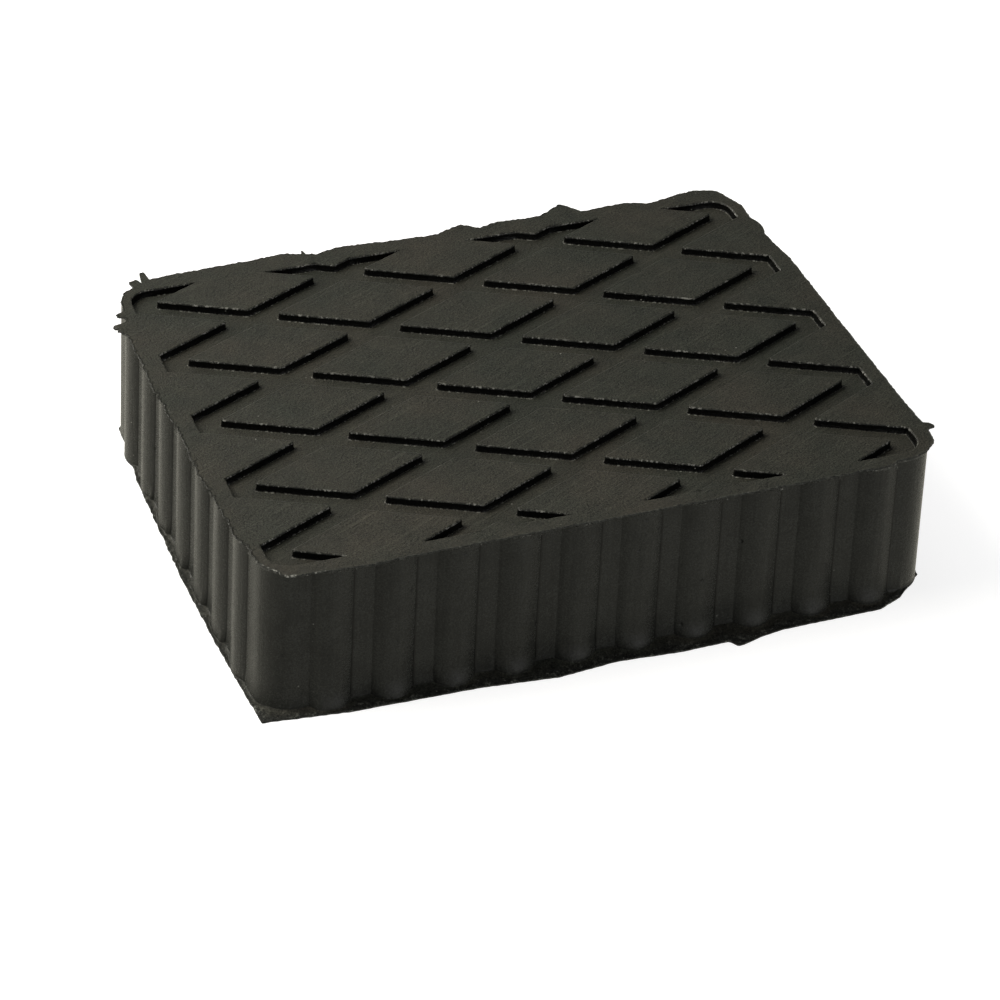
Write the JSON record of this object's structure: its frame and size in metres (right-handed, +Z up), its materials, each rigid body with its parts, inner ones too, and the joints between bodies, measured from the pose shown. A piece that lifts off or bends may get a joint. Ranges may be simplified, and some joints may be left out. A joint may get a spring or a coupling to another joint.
{
  "type": "rubber lift block",
  "caption": "Rectangular moulded rubber lifting pad with a raised diamond tread on top, upright ribs round its sides and knife-trimmed moulding flash.",
  "frame": {"origin": "centre of the flat underside, on the surface that the block lies on", "axes": "+X along the block's length, +Y along its width, away from the side seen in front in the picture, +Z up through the tread"},
  "size_m": [0.1631, 0.1318, 0.0365],
  "materials": {
    "rubber": "matt"
  },
  "bodies": {
    "root": {"lift_block": "rubber"}
  },
  "joints": []
}
